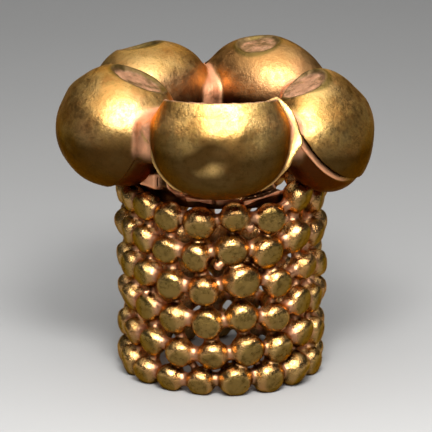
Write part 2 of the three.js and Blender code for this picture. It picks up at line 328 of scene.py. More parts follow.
def finished(field, grid, more):
    """The grid's surface drawn onto its field, with the layers that every material reads."""
    points, quads = surface(grid)
    points = draw_on(field(points), points, quads, grid.step)
    exact = field(points)
    here = exact(points)
    normals = slope(exact, points, here)
    normals /= np.maximum(np.linalg.norm(normals, axis=1), 0.01)[:, None]
    layers = {
        # how free of surrounding gold a surface is; the materials paint shade where it is closed in
        "open": np.clip(exact(points + OPEN_REACH * normals) / OPEN_REACH, 0, 1),
        # painted shade on surfaces that look down
        "under": under_side(normals),
    }
    layers.update(more(points, normals))
    return points, quads, layers


def cast(field, grid, more):
    """The finished surface of a field that is known at every point of its grid."""
    grid.field = field(grid.points().reshape(-1, 3)).reshape(grid.field.shape)
    return finished(lambda places: field, grid, more)


def make_object(name, points, quads, layers):
    """A Blender object from millimetre points, with a float attribute for each layer."""
    mesh = bpy.data.meshes.new(name)
    mesh.vertices.add(len(points))
    mesh.vertices.foreach_set("co", (points * MM).astype(np.float32).ravel())
    mesh.loops.add(4 * len(quads))
    mesh.loops.foreach_set("vertex_index", quads.astype(np.int32).ravel())
    mesh.polygons.add(len(quads))
    mesh.polygons.foreach_set("loop_start", np.arange(0, 4 * len(quads), 4, dtype=np.int32))
    mesh.polygons.foreach_set("use_smooth", np.ones(len(quads), bool))
    mesh.update(calc_edges=True)
    for layer, values in layers.items():
        attribute = mesh.attributes.new(layer, "FLOAT", "POINT")
        attribute.data.foreach_set("value", values.astype(np.float32))
    obj = bpy.data.objects.new(name, mesh)
    bpy.context.scene.collection.objects.link(obj)
    return obj


# Granules

def wander(azimuth):
    """How much higher the rings lie at an azimuth."""
    a = (azimuth + 180.0) % 360.0 - 180.0
    places = [at for at, _ in WANDER]
    after = max(1, int(np.searchsorted(places, a)))
    (start, low), (end, high) = WANDER[after - 1], WANDER[after]
    return low + (high - low) * float(ease(a, start, end))


def ring_level(ring):
    """The height of the middles of a ring's granules."""
    first = GRANULE_RADIUS - FOOT_DEPTH
    return first if ring == 1 else first + NESTED_RISE + (ring - 2) * RING_RISE


def ring_circle(ring):
    """The radius of the circle that they lie on."""
    return RING_RADIUS + (ring - 1) * RING_FLARE


class Granule:
    """One granule of a ring: an uneven ball, worn flat outside."""

    def __init__(self, ring, place):
        count, turn, bunch = RINGS[ring - 1]
        even = turn + place * 360.0 / count
        self.azimuth = even + bunch * (1 - math.cos(math.radians(even)))
        size, lift = SINGLES.get((ring, place), (1.0, 0.0))
        self.radius = GRANULE_RADIUS * size + SIZE_SPREAD * math.sin(12.9 * ring + 7.3 * place)
        z = ring_level(ring) + wander(self.azimuth) + lift
        if ring == 1:
            z = self.radius - FOOT_DEPTH
        self.centre = on_circle(self.azimuth, ring_circle(ring), z)
        self.seed = 40 * ring + place
        rng = np.random.default_rng(self.seed + FACE_SEED)
        tilt = rng.normal(0.0, FACET_TILT, 2)
        side = unit(self.azimuth + 90)
        face = unit(self.azimuth) + tilt[0] * side + (0, 0, tilt[1] - FACET_DROOP)
        self.face = face / np.linalg.norm(face)
        self.flat = self.radius * (FACET_SHARE + rng.uniform(0.0, FACET_SPREAD))
        self.stretch = 1.0 + rng.uniform(-STRETCH, STRETCH, 3)
        self.tone = rng.uniform(0.0, TONE)

    def ball(self, points):
        q = (points - self.centre) * self.stretch
        return np.linalg.norm(q, axis=-1) - self.radius

    def face_distance(self, points):
        middle = self.centre + self.face * (self.flat - FACET_BULGE)
        return np.linalg.norm(points - middle, axis=-1) - FACET_BULGE

    def distance(self, points):
        return smooth_max(self.ball(points), self.face_distance(points), FACET_SOFT)


def ring_granules(ring):
    count = RINGS[ring - 1][0]
    return [Granule(ring, i - count // 2) for i in range(count)]


def bar(a, b, radius_a, radius_b, soft=SOFT):
    """A rounded bar of solder from one point to another."""
    a, b = np.asarray(a, float), np.asarray(b, float)
    way = b - a
    length = np.linalg.norm(way)

    def distance(points):
        t = np.clip((points - a) @ way / length ** 2, 0.0, 1.0)
        off = np.linalg.norm(points - a - t[..., None] * way, axis=-1)
        return off - (radius_a + (radius_b - radius_a) * t)

    reach = length / 2 + max(radius_a, radius_b) + MARGIN
    return Lump((a + b) / 2, reach, distance, soft)


def nearest_two(granule, others):
    return sorted(others, key=lambda one: np.linalg.norm(one.centre - granule.centre))[:2]


ALL_RINGS = {ring: ring_granules(ring) for ring in range(1, 7)}
# Spilt solder between the rings: azimuth, distance from the axis, height, radius
SPILLS = [(16, 2.78, 4.86, 0.13), (-2, 2.85, 3.84, 0.14), (37, 2.86, 5.0, 0.12),
          (-50, 2.75, 2.7, 0.11), (60, 2.7, 3.6, 0.13), (148, 2.8, 4.3, 0.14),
          (-120, 2.8, 1.8, 0.12), (95, 2.8, 2.75, 0.12)]
SPILL_RUN = (0.05, 0, 0.03)  # which way it has run,
SPILL_TAPER = 0.7  # and how thick it is there
SPILL_SOFT = 0.08


def tube_lumps(ring):
    """The granules and the solder that shape one ring and its joints with its neighbours."""
    lumps = []
    for near in range(max(1, ring - 1), min(6, ring + 1) + 1):
        granules = ALL_RINGS[near]
        lumps += [Lump(g.centre, g.radius + MARGIN, g.distance) for g in granules]
        for g, following in zip(granules, granules[1:] + granules[:1]):
            rng = np.random.default_rng(g.seed)
            thick = NECK_RADIUS * rng.uniform(*NECK_SPREAD)
            inset = unit(g.azimuth) * NECK_INSET - (0, 0, rng.uniform(*NECK_DROP))
            lumps.append(bar(g.centre - inset, following.centre - inset, thick, thick))
    for upper in (ring, ring + 1):
        if upper < 2 or upper > 6:
            continue
        for g in ALL_RINGS[upper]:
            below, second = nearest_two(g, ALL_RINGS[upper - 1])
            rng = np.random.default_rng(g.seed + BRIDGE_SEED)
            thick = BRIDGE_RADIUS * rng.uniform(*BRIDGE_SPREAD)
            deep = unit(g.azimuth) * BRIDGE_INSET
            lumps.append(bar(g.centre - deep, below.centre - deep, thick, thick * BRIDGE_TAPER))
            if np.linalg.norm(second.centre - g.centre) < SECOND_REACH:
                ends = g.centre - deep, second.centre - deep
                lumps.append(bar(*ends, SECOND_BRIDGE, SECOND_BRIDGE))
    for azimuth, radius, z, size in SPILLS:
        place = on_circle(azimuth, radius, z)
        lumps.append(bar(place, place + SPILL_RUN, size, size * SPILL_TAPER, SPILL_SOFT))
    return lumps


def ring_field(ring):
    """Makes a ring's field for places near a list of points.

    Past its joints with its neighbours, the gold of a ring sinks inside theirs.
    """
    lumps = tube_lumps(ring)
    own = [Lump(g.centre, SKIN_REACH, g.ball) for g in ALL_RINGS[ring]]
    others = [Lump(g.centre, SKIN_REACH, g.ball) for near in (ring - 1, ring + 1)
              for g in ALL_RINGS.get(near, [])]

    def at(places):
        sets = sphere_sets(lumps, places)
        own_sets = sphere_sets(own, places)
        other_sets = sphere_sets(others, places)

        def field(points):
            gold = merge(lumps, sets, points)
            beyond = (least(own, own_sets, points) - least(others, other_sets, points)) / 2
            return sunk(gold, beyond, points, ring)

        return field

    return at


def least(lumps, sets, points):
    """The distance to the nearest of the lumps."""
    field = np.full(len(points), FAR)
    for lump, near in zip(lumps, sets):
        field[near] = np.minimum(field[near], lump.distance(points[near]))
    return field


def sunk(gold, beyond, points, ring):
    """Takes a ring's gold inwards past its joints, roughens it, and grinds its foot flat."""
    gold = gold + SINK * np.maximum(beyond, 0.0) ** 2
    gold = gold + GRAIN * ripple(points, size=0.17, seed=5)
    gold = gold + FINE_GRAIN * ripple(points, size=0.07, seed=9)
    return smooth_max(gold, -points[..., 2], FOOT_SOFT) if ring == 1 else gold


# Where the colours of a ring start and are full, as distances from a granule's ball or face
NECK_TINT = (-0.01, 0.06)
FACET_TINT = (-0.03, -0.008)
FACET_END = (-0.005, 0.02)
RING_UNDERSIDE_SHADE = 0.65  # how strong the painted shade on the undersides of granules is


def ring_layers(ring):
    granules = [g for near in (ring - 1, ring, ring + 1) for g in ALL_RINGS.get(near, [])]

    def layers(points, normals):
        away = np.full(len(points), FAR)
        face = np.full(len(points), -FAR)
        tone = np.zeros(len(points))
        for g in granules:
            near = np.flatnonzero(((points - g.centre) ** 2).sum(1) < TINT_REACH ** 2)
            skin = g.ball(points[near])
            mine = near[skin < away[near]]
            away[mine] = skin[skin < away[near]]
            face[mine] = g.face_distance(points[mine])
            tone[mine] = g.tone
        return {
            # painted shade on the undersides of granules
            "under": RING_UNDERSIDE_SHADE * under_side(normals),
            "solder": ease(away, *NECK_TINT),
            "facet": ease(face, *FACET_TINT) * (1 - ease(away, *FACET_END)),
            "tone": tone,
        }

    return layers


def make_ring(ring):
    granules = ALL_RINGS[ring]
    reach = ring_circle(ring) + RING_MARGIN
    low = min(g.centre[2] - g.radius for g in granules) - RING_LAP
    high = max(g.centre[2] + g.radius for g in granules) + RING_LAP
    grid = Grid((-reach, -reach, low), (reach, reach, high), RING_STEP)
    grid.add(tube_lumps(ring))
    others = [g for near in (ring - 1, ring + 1) for g in ALL_RINGS.get(near, [])]
    beyond = (grid.skins(granules) - grid.skins(others)) / 2
    grid.field = sunk(grid.field, beyond, grid.points(), ring)
    return finished(ring_field(ring), grid, ring_layers(ring))


# Crown

COLLAR_RADIUS = ring_circle(6) - 0.22  # the collar stands behind the granules
COLLAR_FOOT = ring_level(6) + GRANULE_RADIUS - 0.14
COLLAR_HEIGHT = 1.14
LOBE_CIRCLE = COLLAR_RADIUS + 0.57  # the circle of the lobes' middles,
LOBE_LEVEL = COLLAR_FOOT + COLLAR_HEIGHT + 0.8  # and their height
LOBE_PRESS = 0.06  # how far lobes are pressed into each other
SMALLEST = 0.05  # keeps a distance finite in the middle of a lobe
SHEET = 0.09  # thickness of the sheet round the hollow lobe
HOLLOW_SOFT = 0.1  # how rounded the hollow's corners are,
SLIT_SOFT = 0.025  # and the edges of its opening
DISH_DEPTH = 0.12
DISH_FLOOR = 0.8  # how wide its floor is, as a share of its rim
DISH_LIMIT = 0.9  # the widest rim, as a share of a lobe's half height
DISH_SOFT = 0.05  # how softly the floor of a dish runs into its wall,
DISH_EDGE = 0.04  # and its wall into the skin
# Name, azimuth, rise, half depth, half height, squareness, and how it leans and tips
LOBES = [
    ("lobe_front", -1, 0.24, 1.42, 1.7, 2.2, 0, 0),
    ("lobe_right", 70, -0.14, 1.24, 1.72, 1.9, 15, -2),
    ("lobe_back_right", 156, 0.01, 1.37, 1.55, 1.9, -6, 0),
    ("lobe_back_left", 222, 0.03, 1.47, 1.45, 2.3, -2, 2),
    ("lobe_left", 287, -0.04, 1.59, 1.62, 2.2, 21, 7),
]
# Each lobe's dish: its radius, and how much further than the lobe it leans and tips.
DISHES = [(1.42, 15, 0), (0.76, 4, 13), (0.62, 14, -5), (0.6, -16, 0), (0.8, 1, 0)]
# Each lobe's seam: how far it leans back from the lobe's axis, and how far outwards it lies.
SEAMS = [(25, 0.0), (17.5, 0.27), (26, 0.0), (28, 0.0), (0, -0.06)]
# The solder between two lobes: its half sizes outwards, along the ring and upwards
WELD = np.array([0.76, 0.5, 0.62])
WELD_SOFT = 0.3  # how softly it runs into the lobes
WELD_INSET = 0.48  # how far inside the lobes' circle it stands,
WELD_RISE = 0.02  # and how far above their level
WELD_TURN = {189: 3.0}  # by azimuth: the solder at the back stands a little further round,
WELD_DROP = {189: 0.2}  # and lower,
WELD_OUT = {323: 0.4, 34: 0.3}  # and that beside the front lobe further out
# The lobes run together over this width low down, and this much more from the heights given.
GROOVE_LOW = 0.08
GROOVE_MORE = 0.34
GROOVE_RISE = (LOBE_LEVEL - 0.35, LOBE_LEVEL + 0.1)
DISH_GRAIN = 0.02  # unevenness of the dishes
SEAM_PROUD = 0.08  # how far the outer bowl stands over the inner one,
SEAM_EDGE = (-0.015, 0.015)  # and how wide the step between them is
SEAM_TOP = (0.9, 0.3)  # the step fades out between these heights
SPRUNG_START = (-18, 0)  # degrees round the seam from level on the front side, where it opens
SPRUNG_END = (-88, -25)  # and, counted backwards, where it closes again
SLIT_HALF = 0.045  # half the width of the sprung seam at its widest
SLIT_SHUT = 0.004  # how much less than nothing it is where the seam is closed
SLIT_DEEP = 0.35
LIP = 0.09  # how far the sprung edge of the inner bowl is bent out,
LIP_INSET = 0.1  # how far inside the seam the bend is,
LIP_WIDTH = 0.06  # and its width
LOBE_STEP = 0.0405  # grid spacing
LOBE_MARGIN = 0.6  # how far the grid reaches past a lobe's sides,
LOBE_REACH = 2.0  # and from its middle up and down
LOBE_SINK = 7.0  # how fast a lobe sinks inside its neighbour past their joint
SHEET_WAVE = 0.02  # unevenness of the hammered sheet,
SHEET_GRAIN = 0.1 * SHEET_WAVE  # and its finer part
LOBE_DARKENING = [0.0, 0.0, 0.9, 0.3, 0.25]  # how far each lobe's colour is darkened towards brown
# The front lobe's flange: degrees round its seam from level on the right down, and its width.
FLANGE = [(-48, 0), (-18, 0.24), (-4, 0.46), (20, 0.16), (36, 0.06), (60, 0), (120, 0), (135, 0.06),
          (160, 0.07), (172, 0)]
FLANGE_START = -80  # the turn that the table of the flange is counted from
FLANGE_HALF = 0.05  # half its thickness
FLANGE_SOFT = 0.03  # how rounded its edge is,
FLANGE_ROOT = 0.1  # and its root
FLANGE_LIFT = 0.4  # takes the flange out of reach where it is narrower than
FLANGE_LEAST = 0.01
# Dents: lobe, degrees round from its outer side, degrees above level, size, depth.
DENTS = [
    ("lobe_front", -7, -12, 0.34, 0.15), ("lobe_front", -24, -20, 0.3, 0.08),
    ("lobe_front", 0, -44, 0.45, -0.06), ("lobe_front", 38, 12, 0.3, 0.06),
    ("lobe_front", -34, 14, 0.4, 0.07), ("lobe_left", -20, 5, 0.35, 0.05),
    ("lobe_left", 25, -25, 0.3, 0.04), ("lobe_right", -30, 0, 0.3, 0.03),
    ("lobe_right", 30, 20, 0.35, 0.05), ("lobe_back_right", 10, -10, 0.4, 0.07),
    ("lobe_back_left", -15, 15, 0.4, 0.06),
]


def along(table, x):
    """Reads a table of places and values, eased between them."""
    places = np.array([at for at, _ in table], float)
    values = np.array([value for _, value in table], float)
    after = np.clip(np.searchsorted(places, x), 1, len(places) - 1)
    share = ease(x, places[after - 1], places[after])
    return values[after - 1] + (values[after] - values[after - 1]) * share


class Lobe:
    """A hollow lobe, made of an inner and an outer bowl of sheet gold with a dish on top."""

    def __init__(self, number):
        self.name, self.azimuth, rise, deep, tall, self.square, lean, tip = LOBES[number]
        before = LOBES[number - 1][1]
        after = LOBES[(number + 1) % len(LOBES)][1]
        self.halves = ((self.azimuth - before) % 360 / 2, (after - self.azimuth) % 360 / 2)
        wide = LOBE_CIRCLE * math.sin(math.radians(sum(self.halves) / 2)) + LOBE_PRESS
        self.half_size = np.array([deep, wide, tall])
        self.middle = on_circle(self.azimuth, LOBE_CIRCLE, LOBE_LEVEL + rise)
        upright = np.array([unit(self.azimuth), unit(self.azimuth + 90), (0, 0, 1)])
        tipped = Matrix.Rotation(math.radians(-tip), 3, "X")
        leant = Matrix.Rotation(math.radians(-lean), 3, "Y")
        self.axes = np.array((tipped @ leant).transposed()) @ upright
        radius, dish_lean, dish_tip = DISHES[number]
        back, aside = (-math.sin(math.radians(turn)) for turn in (dish_lean, dish_tip))
        self.up = np.array([back, aside, 0])
        self.up[2] = math.sqrt(1 - (self.up ** 2).sum())
        rim = math.asin(min(radius / tall, DISH_LIMIT))
        skin = 1 / self.size(np.array([0, math.sin(rim), math.cos(rim)]))
        self.rim = skin * math.sin(rim)
        self.floor = skin * math.cos(rim) - DISH_DEPTH
        self.dents = [(dent[1:3], *dent[3:]) for dent in DENTS if dent[0] == self.name]
        seam_lean, self.seam_out = SEAMS[number]
        self.seam_lean = math.radians(seam_lean)

    def local(self, points):
        """Places in the lobe's own frame: away from the bore, along the ring, up its axis."""
        return (points - self.middle) @ self.axes.T

    def size(self, p):
        """How many times its own size a lobe would have to be to reach a place."""
        return (np.abs(p / self.half_size) ** self.square).sum(-1) ** (1 / self.square)

    def on_skin(self, turn, rise):
        """The place on the skin in a direction, in the lobe's own frame."""
        turn, rise = math.radians(turn), math.radians(rise)
        flat = math.cos(rise)
        way = np.array([math.cos(turn) * flat, math.sin(turn) * flat, math.sin(rise)])
        return way / self.size(way)

    def across(self, p):
        """How far a place lies outside the seam's plane."""
        out = p[..., 0] * math.cos(self.seam_lean) + p[..., 2] * math.sin(self.seam_lean)
        return out - self.seam_out

    def round_seam(self, p):
        """Degrees round the seam: 0 on the side of growing azimuth, 90 at the foot."""
        down = p[..., 0] * math.sin(self.seam_lean) - p[..., 2] * math.cos(self.seam_lean)
        return np.degrees(np.arctan2(down, p[..., 1]))

    def in_dish(self, p):
        """The distance into the space of the dish, negative inside it."""
        rise = p @ self.up
        away = np.sqrt(np.maximum((p ** 2).sum(-1) - rise ** 2, 0))
        spread = self.rim * (1 - DISH_FLOOR) / DISH_DEPTH
        wall = (away - self.rim * DISH_FLOOR - (rise - self.floor) * spread) / math.hypot(1, spread)
        return smooth_max(self.floor - rise, wall, DISH_SOFT)

    def skin(self, points):
        """The distance to the lobe's own skin, with its dents, dish and seam."""
        p = self.local(points)
        size = np.maximum(self.size(p), SMALLEST)
        gold = np.linalg.norm(p, axis=-1) * (1 - 1 / size)
        for place, wide, deep in self.dents:
            gold = gold + deep * np.exp(-((p - self.on_skin(*place)) ** 2).sum(-1) / wide ** 2)
        dish = DISH_GRAIN * ripple(points, size=0.17, seed=12) - self.in_dish(p)
        gold = smooth_max(gold, dish, DISH_EDGE)
        return gold - SEAM_PROUD * ease(self.across(p), *SEAM_EDGE) * ease(p[..., 2], *SEAM_TOP)

    def beyond(self, points):
        """How far places lie past the planes halfway to the two neighbours."""
        low, high = self.azimuth - self.halves[0], self.azimuth + self.halves[1]
        return -(points @ unit(low + 90)), points @ unit(high + 90)


CROWN = [Lobe(number) for number in range(len(LOBES))]


def weld_distance(azimuth, points):
    """The distance to the solder between two lobes."""
    place = round(azimuth) % 360
    azimuth = azimuth + WELD_TURN.get(place, 0.0)
    out = LOBE_CIRCLE - WELD_INSET + WELD_OUT.get(place, 0.0)
    middle = on_circle(azimuth, out, LOBE_LEVEL + WELD_RISE - WELD_DROP.get(place, 0.0))
    p = (points - middle) @ np.array([unit(azimuth), unit(azimuth + 90), (0, 0, 1)]).T
    q = p / WELD
    size = ((q[..., 0] ** 2 + q[..., 1] ** 2) ** 2 + q[..., 2] ** 4) ** 0.25
    return np.linalg.norm(p, axis=-1) * (1 - 1 / np.maximum(size, SMALLEST))


def flange(lobe, points, skin):
    """The distance to the sheet that stands out round a lobe's seam."""
    p = lobe.local(points)
    wide = along(FLANGE, (lobe.round_seam(p) - FLANGE_START) % 360 + FLANGE_START)
    sheet = smooth_max(np.abs(lobe.across(p)) - FLANGE_HALF, skin - wide, FLANGE_SOFT)
    return sheet + FLANGE_LIFT * (wide < FLANGE_LEAST)


def sprung(lobe, p):
    """How far the seam has sprung open, from 0 to 1: most in front, closing at the foot."""
    round_front = (180 - lobe.round_seam(p)) % 360
    round_front = np.where(round_front > 180, round_front - 360, round_front)
    return ease(round_front, *SPRUNG_START) * ease(-round_front, *SPRUNG_END)


def slit(lobe, p, skin):
    """The distance into the gap of the sprung seam."""
    half = SLIT_HALF * sprung(lobe, p) - SLIT_SHUT
    return np.maximum(np.abs(lobe.across(p)) - half, -SLIT_DEEP - skin)


def lobe_field(number):
    lobe = CROWN[number]
    sides = [(CROWN[number - 1], lobe.azimuth - lobe.halves[0]),
             (CROWN[(number + 1) % len(CROWN)], lobe.azimuth + lobe.halves[1])]

    def field(points):
        own = lobe.skin(points)
        gold = own
        groove = GROOVE_LOW + GROOVE_MORE * ease(points[..., 2], *GROOVE_RISE)
        for other, _ in sides:
            gold = smooth_min(gold, other.skin(points), groove)
        for _, azimuth in sides:
            gold = smooth_min(gold, weld_distance(azimuth, points), WELD_SOFT)
        if lobe.name == "lobe_front":
            gold = smooth_min(gold, flange(lobe, points, own), FLANGE_ROOT)
        before, after = lobe.beyond(points)
        gold = gold + LOBE_SINK * (np.maximum(before, 0) ** 2 + np.maximum(after, 0) ** 2)
        gold = gold + SHEET_WAVE * ripple(points, size=0.75, seed=3)
        gold = gold + SHEET_GRAIN * ripple(points, size=0.25, seed=4)
        if lobe.name == "lobe_right":
            p = lobe.local(points)
            bend = np.exp(-((lobe.across(p) + LIP_INSET) / LIP_WIDTH) ** 2)
            gold = gold - LIP * sprung(lobe, p) * bend
            inset = np.maximum(before, after) + SHEET
            hollow = smooth_max(own + SHEET, inset, HOLLOW_SOFT)
            hollow = np.minimum(hollow, slit(lobe, p, own))
            gold = smooth_max(gold, -hollow, SLIT_SOFT)
        return gold

    return field


# Where the colours of a lobe start and are full, in millimetres
WELD_TINT = (0.0, 0.06)  # out of the skin
GROOVE_TINT = (0.1, 0.32)  # from a neighbour's skin
GROOVE_TINT_RISE = (LOBE_LEVEL - 0.5, LOBE_LEVEL - 0.1)
GROOVE_SHADE_CUT = 0.7  # how much of the painted underside shade is left out there
SEAM_TINT = (0.0, 0.05)  # from the seam's plane, for the painted seam highlight and the lip
SEAM_TINT_TOP = (0.5, 0.0)
LIP_TINT = (0.05, 0.13)  # from the slit
FLANGE_TINT = (0.0, 0.03)  # out of the skin, for the painted highlight on the flange
FLANGE_FADE = (0.0, 0.04)  # from the flange
DISH_TINT = (0.02, 0.06)  # from the dish's own surface
RIM_PLACE = 0.94  # the middle of the dark ring, as a share of the rim's radius
RIM_TINT = (0.05, 0.15)  # from that middle
UPPER_HALF = (0.0, 0.5)
BOWL_TINT = (0.05, 0.2)  # painted shade inside the seam's plane, on the inner bowl
BOWL_TINT_TOP = (-0.15, 0.2)
INNER_TINT = (0.2, 1.0)  # towards the bore
INNER_SLOPE = (0.75, 0.3)  # how steeply up the surface looks there
INSIDE_TINT = (0.04, 0.08)  # painted shade under the skin, inside the hollow and the slit


def lobe_layers(number):
    lobe = CROWN[number]
    neighbours = (CROWN[number - 1], CROWN[(number + 1) % len(CROWN)])

    def layers(points, normals):
        p = lobe.local(points)
        own = lobe.skin(points)
        groove = 1 - ease(np.minimum(*[one.skin(points) for one in neighbours]), *GROOVE_TINT)
        upper = ease(points[:, 2], *GROOVE_TINT_RISE)
        solder = np.maximum(ease(own, *WELD_TINT), groove * upper)
        across = lobe.across(p)
        # a painted highlight along the seam, low on the lobe
        painted_seam_highlight = (1 - ease(np.abs(across), *SEAM_TINT)) * ease(p[:, 2], *SEAM_TINT_TOP)
        # painted shade on surfaces that look down, left out where solder fills the groove
        under = under_side(normals) * (1 - GROOVE_SHADE_CUT * solder * upper)
        if lobe.name == "lobe_right":
            lip = (1 - ease(slit(lobe, p, own), *LIP_TINT)) * ease(-across, *SEAM_TINT)
            lip = lip * sprung(lobe, p)
            solder = np.maximum(solder, lip)
            under = under * (1 - lip)
        if lobe.name == "lobe_front":
            # a painted highlight on the flange's edge, without solder colour or underside shade
            strip = ease(own, *FLANGE_TINT) * (1 - ease(flange(lobe, points, own), *FLANGE_FADE))
            solder = solder * (1 - strip)
            under = under * (1 - strip)
            painted_seam_highlight = np.maximum(painted_seam_highlight, strip)
        rise = p @ lobe.up
        away = np.sqrt(np.maximum((p ** 2).sum(1) - rise ** 2, 0))
        ring = 1 - ease(np.abs(away - RIM_PLACE * lobe.rim), *RIM_TINT)
        return {
            "solder": solder,
            "under": under,
            "dish": 1 - ease(lobe.in_dish(p), *DISH_TINT),
            "rim": ring * ease(rise, *UPPER_HALF) * (lobe.name != "lobe_front"),
            "painted_seam_highlight": painted_seam_highlight,
            # painted shade on the inner bowl
            "bowl": ease(-across, *BOWL_TINT) * ease(-p[:, 2], *BOWL_TINT_TOP) * (1 - solder),
            "inner": ease(-p[:, 0], *INNER_TINT) * ease(normals[:, 2], *INNER_SLOPE),
            # painted shade inside the lobe's own skin
            "inside": ease(-own, *INSIDE_TINT),
            "tone": np.full(len(points), LOBE_DARKENING[number]),
        }

    return layers


def make_lobe(number):
    lobe = CROWN[number]
    side = lobe.half_size.max() + LOBE_MARGIN
    reach = np.array([side, side, LOBE_REACH])
    grid = Grid(lobe.middle - reach, lobe.middle + reach, LOBE_STEP)
    return cast(lobe_field(number), grid, lobe_layers(number))


# Collar

COLLAR_SHEET = 0.045  # half its thickness
COLLAR_INSET = 0.16  # how far its foot stands inside the collar's circle
COLLAR_LEAN = 0.3  # how far its tabs lean out
COLLAR_BEND = (0.1, 0.5)  # between these heights above its foot
COLLAR_WAVE = 0.05
COLLAR_GRAIN = 0.006
COLLAR_STEEP = 0.6  # evens out the distance from its slanting edges
COLLAR_SOFT = 0.05  # how rounded its edges are
COLLAR_ROOT = 0.12  # how far it reaches down into the top ring
COLLAR_LAP = 0.15  # how far it reaches into a lobe
COLLAR_STEP = 0.034  # grid spacing
COLLAR_REACH = (0.6, 0.25, 1.35)  # how far the grid goes past it outwards, down and up
LOBE_NEAR = 2.2  # from how near its middle a lobe can reach the collar
LEDGE_DEEP = 0.2  # how far a ledge stands out
LEDGE_HOURGLASS = 0.05  # how much wider its ends are
LEDGE_ENDS = (-2, 1)  # how gently it ends, in degrees,
LEDGE_EDGE = (-0.03, 0.04)  # and above and below
LIP_FADE = (0.08, 0.2)  # how far below its edge the collar turns to painted shade
# The collar's height above its foot, round the bore.
COLLAR_TOP = [(-180, 0.95), (-160, 0.35), (-148, 0.35), (-138, 1.1), (-118, 1.1), (-110, 0.35),
              (-100, 0.35), (-92, 1.0), (-74, 1.0), (-68, 0.3), (-60, 0.3), (-52, 0.9), (-40, 1.05),
              (-33, 0.3), (-27, 0.25), (-22, 0.5), (-8, 0.52), (-3, 0.2), (12, 0.2), (17, 0.55),
              (31, 0.75), (38, 0.3), (60, 0.3), (72, 1.05), (100, 1.1), (118, 1.0), (122, 0.35),
              (138, 0.35), (146, 1.1), (166, 1.0), (180, 0.95)]

# Ledges, where the collar is bent out: from and to azimuth, heights there, and half its width.
LEDGES = [(-24, -6, 0.2, 0.16, 0.05), (13, 37, 0.1, 0.38, 0.05), (-57, -42, 0.6, 0.6, 0.2)]


def ledge(azimuth, rise):
    """How far the collar is bent out, from 0 to 1: each ledge is narrowest in its middle."""
    total = np.zeros(rise.shape)
    for start, end, low, high, half in LEDGES:
        share = np.clip((azimuth - start) / (end - start), 0, 1)
        off = np.abs(rise - low - (high - low) * share) - LEDGE_HOURGLASS * np.abs(2 * share - 1)
        side = ease(azimuth - start, *LEDGE_ENDS) * ease(end - azimuth, *LEDGE_ENDS)
        total = np.maximum(total, side * (1 - ease(off - half, *LEDGE_EDGE)))
    return total


def collar_field(points):
    away = np.hypot(points[..., 0], points[..., 1])
    azimuth = np.degrees(np.arctan2(points[..., 0], -points[..., 1]))
    rise = points[..., 2] - COLLAR_FOOT
    wave = COLLAR_WAVE * ripple(points * (1, 1, 0.4), size=0.8, seed=21)
    middle = COLLAR_RADIUS - COLLAR_INSET + COLLAR_LEAN * ease(rise, *COLLAR_BEND) + wave
    middle = middle + LEDGE_DEEP * ledge(azimuth, rise)
    wall = np.abs(away - middle) - COLLAR_SHEET
    top = (rise - along(COLLAR_TOP, azimuth)) * COLLAR_STEEP
    gold = smooth_max(smooth_max(wall, top, COLLAR_SOFT), -COLLAR_ROOT - rise, COLLAR_SOFT)
    for lobe in CROWN:
        near = ((points - lobe.middle) ** 2).sum(-1) < LOBE_NEAR ** 2
        skin = np.full(gold.shape, FAR)
        skin[near] = lobe.skin(points[near])
        gold = np.maximum(gold, -(skin + COLLAR_LAP))
    return gold + COLLAR_GRAIN * ripple(points, size=0.15, seed=8)


def collar_layers(points, normals):
    azimuth = np.degrees(np.arctan2(points[:, 0], -points[:, 1]))
    rise = points[:, 2] - COLLAR_FOOT
    edge = 1 - ease(along(COLLAR_TOP, azimuth) - rise, *LIP_FADE)
    lip = np.maximum(edge, ledge(azimuth, rise))
    # the collar wall is painted in shade except at its edges and ledges
    return {"solder": lip, "under": 1 - lip, "open": np.ones(len(points))}


def make_collar():
    side, foot, top = COLLAR_REACH
    side = COLLAR_RADIUS + side
    grid = Grid((-side, -side, COLLAR_FOOT - foot), (side, side, COLLAR_FOOT + top), COLLAR_STEP)
    return cast(collar_field, grid, collar_layers)


# Materials

class Shader:
    """A node material, built a node at a time."""

    def __init__(self, name):
        self.material = bpy.data.materials.new(name)
        self.material.use_nodes = True
        self.tree = self.material.node_tree
        self.tree.nodes.clear()

    def add(self, kind, sockets=None, **settings):
        """A node with its settings, and with its sockets linked or set."""
        node = self.tree.nodes.new("ShaderNode" + kind)
        for key, value in settings.items():
            setattr(node, key, value)
        for key, value in (sockets or {}).items():
            self.give(node.inputs[key], value)
        return node

    def give(self, socket, value):
        """Links a socket to another one's output, or sets its value."""
        if isinstance(value, bpy.types.NodeSocket):
            self.tree.links.new(value, socket)
        else:
            socket.default_value = value

    def layer(self, name):
        return self.add("Attribute", attribute_name=name).outputs["Fac"]

    def noise(self, scale, detail, rough, place):
        sockets = {"Scale": scale, "Detail": detail, "Roughness": rough, "Vector": place}
        return self.add("TexNoise", sockets).outputs["Fac"]

    def span(self, value, low, high, to_low=0.0, to_high=1.0):
        """A value eased from one range to another."""
        sockets = {"Value": value, "From Min": low, "From Max": high,
                   "To Min": to_low, "To Max": to_high}
        return self.add("MapRange", sockets, interpolation_type="SMOOTHSTEP").outputs["Result"]

    def mix(self, share, a, b):
        node = self.add("Mix", data_type="RGBA")
        for socket, value in ((0, share), (6, a), (7, b)):
            self.give(node.inputs[socket], value)
        return node.outputs[2]

    def math(self, operation, a, b):
        return self.add("Math", {0: a, 1: b}, operation=operation).outputs[0]

    def tint(self, colour, where, share, over):
        """A colour with a share of another laid over it in some places."""
        return self.mix(self.math("MULTIPLY", where, share), colour, over)


def rgb(red, green, blue):
    return (red, green, blue, 1.0)


